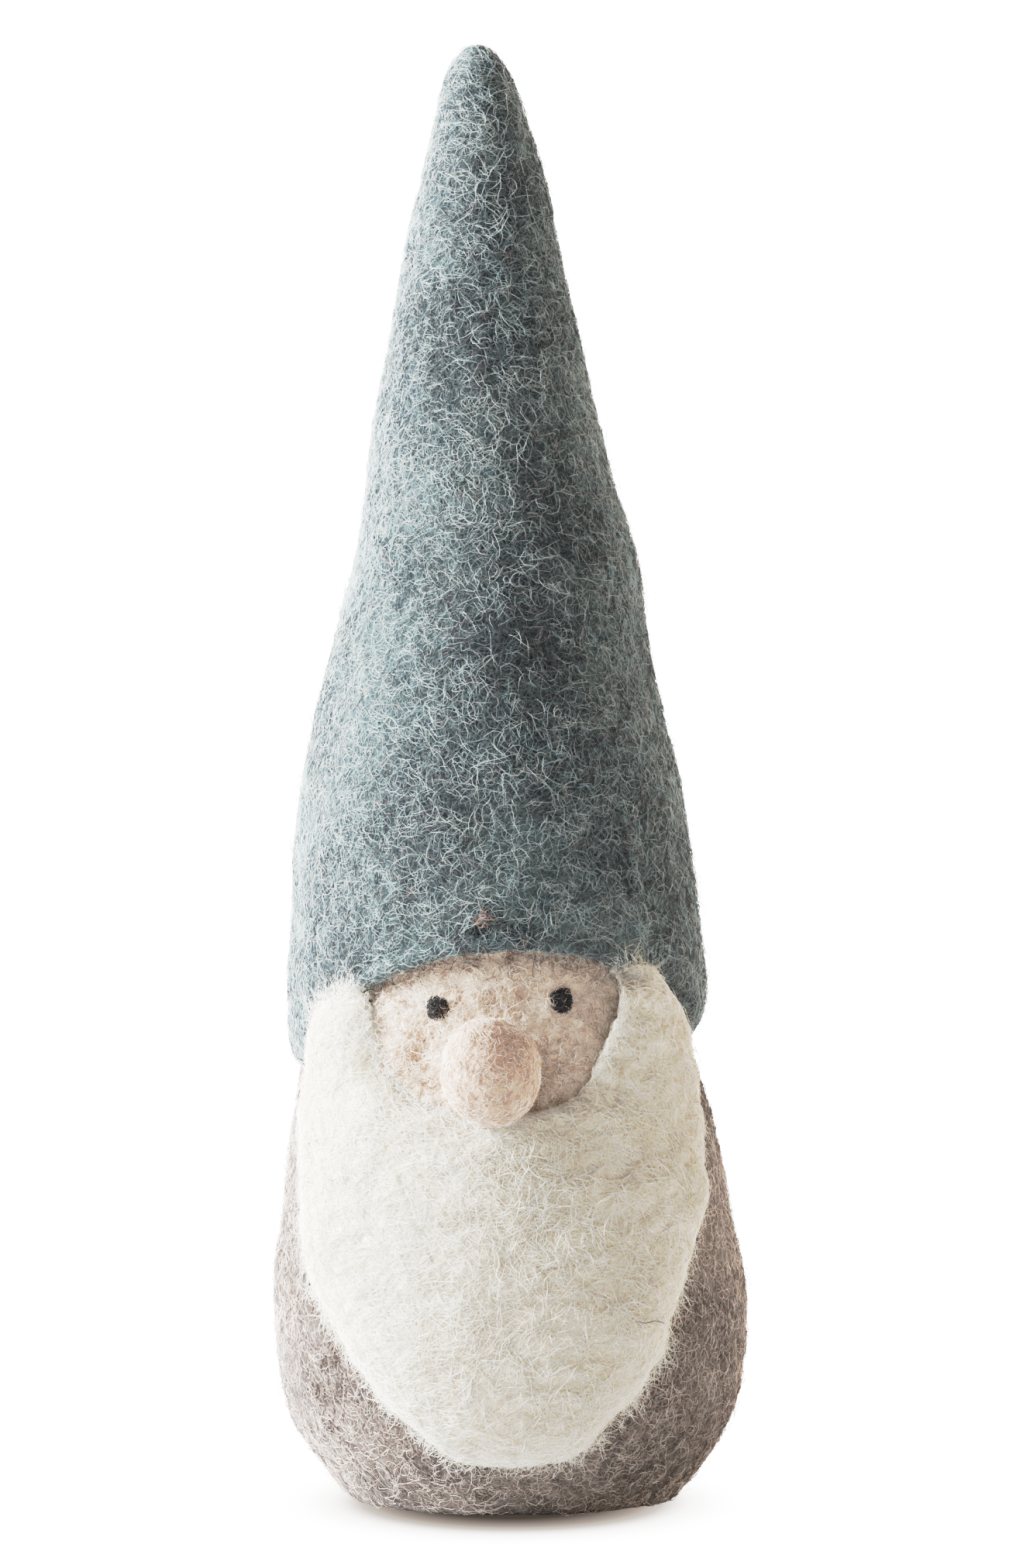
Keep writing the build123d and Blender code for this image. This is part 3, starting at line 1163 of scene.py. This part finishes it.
body = make_body()
dress(body, felt("body_felt_wool", (0.045, 0.031, 0.025), (0.12, 0.09, 0.077), (0.32, 0.265, 0.235),
                 (0.027, 0.019, 0.016), strand=0.6, tint=(1.0, 0.97, 0.94)), "body_felt", "body_shell",
      clouds=patches(13.0, 83, -0.35, 0.45))

face = make_face()
dress(face, felt("face_felt_wool", (0.51, 0.35, 0.255), (0.84, 0.68, 0.56), (0.93, 0.83, 0.73),
                 (0.30, 0.17, 0.11), strand=0.6), "skin_felt", "face_pad", clouds=face_clouds_and_brim_shade)

nose = make_nose()
dress(nose, felt("nose_felt_wool", (0.48, 0.31, 0.23), (0.54, 0.365, 0.28), (0.70, 0.54, 0.44),
                 (0.44, 0.28, 0.20), strand=0.45, relief=0.12), "nose_felt", "nose_ball")

base = make_base()
dress(base, felt("base_felt_wool", (0.04, 0.028, 0.023), (0.10, 0.077, 0.066), (0.28, 0.235, 0.21),
                 (0.027, 0.019, 0.016), strand=0.6), "base_felt", "base_disc")

stitches = make_stitches()
dress(stitches, yarn("stitch_thread", (0.10, 0.075, 0.062), (0.20, 0.16, 0.14)), "thread", "closing_stitches")

beard = make_beard()
dress(beard, felt("beard_felt_wool", (0.75, 0.66, 0.54), (0.82, 0.75, 0.64), (0.91, 0.86, 0.77),
                  (0.74, 0.65, 0.53), strand=0.5, relief=0.15, sheen=0.2), "beard_wool", "beard",
      clouds=beard_clouds)

black = wool("black_fibre", (0.010, 0.009, 0.009), 0.1, 0.5)
eye_wool = felt("eye_felt_wool", (0.006, 0.005, 0.005), (0.014, 0.013, 0.012), (0.05, 0.045, 0.043),
                (0.004, 0.004, 0.004), strand=0.5, relief=0.12, sheen=0.1)
eyes = []
for node in ("eye_left", "eye_right"):
    eye = make_eye(node)
    dress(eye, eye_wool, "black_wool", node)
    eyes.append(eye)

HAT_LOOK = dict(flow=level, stray=0.95, ends=(-1.0, 1.0), steps=5, length=5.0, curl=0.5, rise=(0.0, 0.55),
                wave=0.12, loose=0.05, loose_high=1.8)
HAT_WOOL = wools("hat", {
    "pale": ((0.53, 0.59, 0.58), 0.36, 0.095, pale_places),
    "ice": ((0.33, 0.45, 0.48), 0.13, 0.105, patches(14.0, 77, -0.2, 0.5, 0.15)),
    "teal": ((0.10, 0.155, 0.165), 0.18, 0.11),
    "deep": ((0.006, 0.013, 0.023), 0.3, 0.12, dark_places),
    "rose": ((0.34, 0.275, 0.26), 0.05, 0.1),
})
BODY_LOOK = dict(HAT_LOOK, length=3.8, curl=0.6, rise=(0.0, 0.45))
BODY_WOOL = wools("body", {
    "pale": ((0.76, 0.665, 0.61), 0.45, 0.11, patches(13.0, 83, -0.5, 0.3, 0.5)),
    "brown": ((0.07, 0.041, 0.031), 0.34, 0.12, patches(7.0, 85, -0.35, 0.3, 0.15)),
    "rose": ((0.36, 0.255, 0.21), 0.22, 0.115),
})
BASE_LOOK = dict(BODY_LOOK, flow=any_way, rise=(0.0, 0.0), wave=0.0, loose=0.0)
BEARD_LOOK = dict(HAT_LOOK, stray=0.5, steps=6, length=8.0, curl=0.19, rise=(0.0, 0.6), wave=0.15, loose=0.1)
BEARD_WOOL = wools("beard", {
    "cream": ((0.92, 0.87, 0.75), 0.44, 0.12),
    "white": ((0.97, 0.95, 0.91), 0.38, 0.11),
    "straw": ((0.78, 0.68, 0.55), 0.15, 0.11, straw_places),
    "rose": ((0.62, 0.47, 0.37), 0.03, 0.10, patches(9.0, 105, 0.0, 0.5)),
})
HEM_LOOK = dict(BEARD_LOOK, steps=5, flow=off_the_hem, stray=0.75, ends=(1.0,), length=5.0, curl=0.25,
                rise=(0.0, 0.4), loose=0.12, loose_high=1.2)
LIP_LOOK = dict(HEM_LOOK, flow=off_the_lip, stray=1.1, length=2.3, rise=(0.0, 0.8))
HEM_WOOL = {
    "cream": (BEARD_WOOL["cream"][0], 0.55, 0.11),
    "white": (BEARD_WOOL["white"][0], 0.45, 0.10),
}
FACE_LOOK = dict(HAT_LOOK, flow=any_way, length=3.4, curl=0.7, rise=(0.0, 0.8), loose=0.05, loose_high=1.2)
FACE_WOOL = wools("face", {
    "skin": ((0.95, 0.82, 0.71), 0.47, 0.13),
    "rose": ((0.41, 0.23, 0.14), 0.17, 0.12, ruddy_places),
    "white": ((0.95, 0.90, 0.82), 0.36, 0.125),
})
# Painted shade: dark brown and tan fibres on the strip of face under the brim, where its shadow falls.
SHADE_WOOL = {
    "brown": (BODY_WOOL["brown"][0], 0.4, 0.12),
    "tan": (wool("face_tan_fibre", (0.26, 0.15, 0.095)), 0.6, 0.12),
}
NOSE_LOOK = dict(FACE_LOOK, length=2.8, rise=(0.0, 0.24), wave=0.06, loose_high=0.7)
NOSE_WOOL = wools("nose", {
    "skin": ((0.71, 0.54, 0.44), 0.48, 0.105),
    "rose": ((0.43, 0.265, 0.195), 0.26, 0.1),
    "white": (FACE_WOOL["white"][0], 0.26, 0.1),
})
EYE_LOOK = dict(FACE_LOOK, length=2.0, curl=1.2, rise=(0.05, 0.35), loose=0.0)
EYE_WOOL = {
    "black": (black, 0.76, 0.18),
    "grey": (wool("eye_grey_fibre", (0.10, 0.09, 0.088)), 0.2, 0.13),
    "pale": (FACE_WOOL["skin"][0], 0.04, 0.10),
}
FUZZ_LOOK = dict(HAT_LOOK, length=6.5, curl=0.3, rise=(0.4, 1.6), wave=0.3, loose=0.3, loose_high=2.0)
BRIM_LOOK = dict(HAT_LOOK, flow=downwards, stray=1.1, ends=(1.0,), length=3.0, rise=(0.0, 0.5), loose=0.2,
                 loose_high=1.0)
BRIM_WOOL = {
    "pale": (HAT_WOOL["pale"][0], 0.25, 0.09),
    "teal": (HAT_WOOL["teal"][0], 0.4, 0.11),
    "brown": (BODY_WOOL["brown"][0], 0.35, 0.11),
}
TUFT_LOOK = dict(HAT_LOOK, flow=any_way, length=2.4, curl=0.9, rise=(0.3, 0.9), loose=0.1)
TUFT_WOOL = {
    "rose": (BODY_WOOL["rose"][0], 0.5, 0.11),
    "brown": (BODY_WOOL["brown"][0], 0.5, 0.12),
}

hat_tree, body_tree = tree_of(hat), tree_of(body)
figure_tree = tree_of(beard, body, hat, face)
tuft = in_front(cad_tree("hat_shell"), *TUFT)

cover(hat, hat_tree, "hat_fibres", 48000, HAT_LOOK, HAT_WOOL, seen_hat)
cover(hat, hat_tree, "hat_fuzz", 2400, FUZZ_LOOK, {"pale": (HAT_WOOL["pale"][0], 1.0, 0.08)},
      seen_hat)
cover(hat, figure_tree, "hat_brim", 420, BRIM_LOOK, BRIM_WOOL, above_brim)
cover(hat, hat_tree, "hat_tuft", 70, TUFT_LOOK, TUFT_WOOL, near(tuft, 0.8))
cover(body, body_tree, "body_fibres", 23000, BODY_LOOK, BODY_WOOL, seen_body)
cover(body, body_tree, "body_fuzz", 1200, FUZZ_LOOK, {"pale": (BODY_WOOL["pale"][0], 1.0, 0.08)},
      seen_body)
cover(beard, tree_of(beard), "beard_fibres", 16000, BEARD_LOOK, BEARD_WOOL, seen_beard)
cover(beard, figure_tree, "beard_hem", 8400, HEM_LOOK, HEM_WOOL, beard_hem)
cover(beard, figure_tree, "beard_lip", 5000, LIP_LOOK, HEM_WOOL, beard_lip)
# Two loose fibres lie on the beard.
dark_spots = [(24.8, 40.9), (26.8, 40.4), (28.6, 40.7), (30.2, 40.1), (31.4, 38.6)]
rose_spots = [(-2.1, 25.4), (-1.9, 24.4), (-1.4, 23.5)]
stray("dark_stray", figure_tree, dark_spots, BODY_WOOL["brown"][0])
stray("rose_stray", figure_tree, rose_spots, FACE_WOOL["rose"][0])
face_tree = tree_of(face)
cover(face, face_tree, "face_fibres", 7600, FACE_LOOK, FACE_WOOL)
cover(face, face_tree, "face_shade", 900, FACE_LOOK, SHADE_WOOL, under_the_brim)
cover(nose, tree_of(nose), "nose_fibres", 3600, NOSE_LOOK, NOSE_WOOL)
cover(base, tree_of(base), "base_fibres", 2200, BASE_LOOK, BODY_WOOL, underneath)
for eye in eyes:  # dividing by few leaves the eyes all their fibres
    cover(eye, tree_of(eye), eye.name + "_fibres", 260 / few, EYE_LOOK, EYE_WOOL)

INNER = {
    "ballast_pouch": yarn("pouch_cotton", (0.62, 0.58, 0.50), (0.80, 0.77, 0.70), 0.6),
    "ballast_sand": yarn("ballast_sand_grains", (0.36, 0.29, 0.20), (0.66, 0.56, 0.42), 0.7),
    "body_stuffing": yarn("body_stuffing_wool", (0.66, 0.62, 0.55), (0.86, 0.83, 0.77), 3.0),
    "hat_stuffing": yarn("hat_stuffing_wool", (0.66, 0.62, 0.55), (0.86, 0.83, 0.77), 3.0),
}
for node, material in INNER.items():
    nodes[node].data.materials.clear()
    nodes[node].data.materials.append(material)

add_camera()
add_area("key", (-1.15, -0.06, 0.58), (0.0, 0.0, 0.15), 0.8, 103.0, (0.97, 0.99, 1.0))
add_area("rim", (0.78, 0.22, 0.08), (0.0, 0.0, 0.07), 0.5, 10.5, (1.0, 0.86, 0.73))
add_world({"Color": (1.0, 0.90, 0.79), "Strength": 0.38}, {"Color": (1.0, 1.0, 1.0), "Strength": BACKDROP})
add_floor()
set_tone()
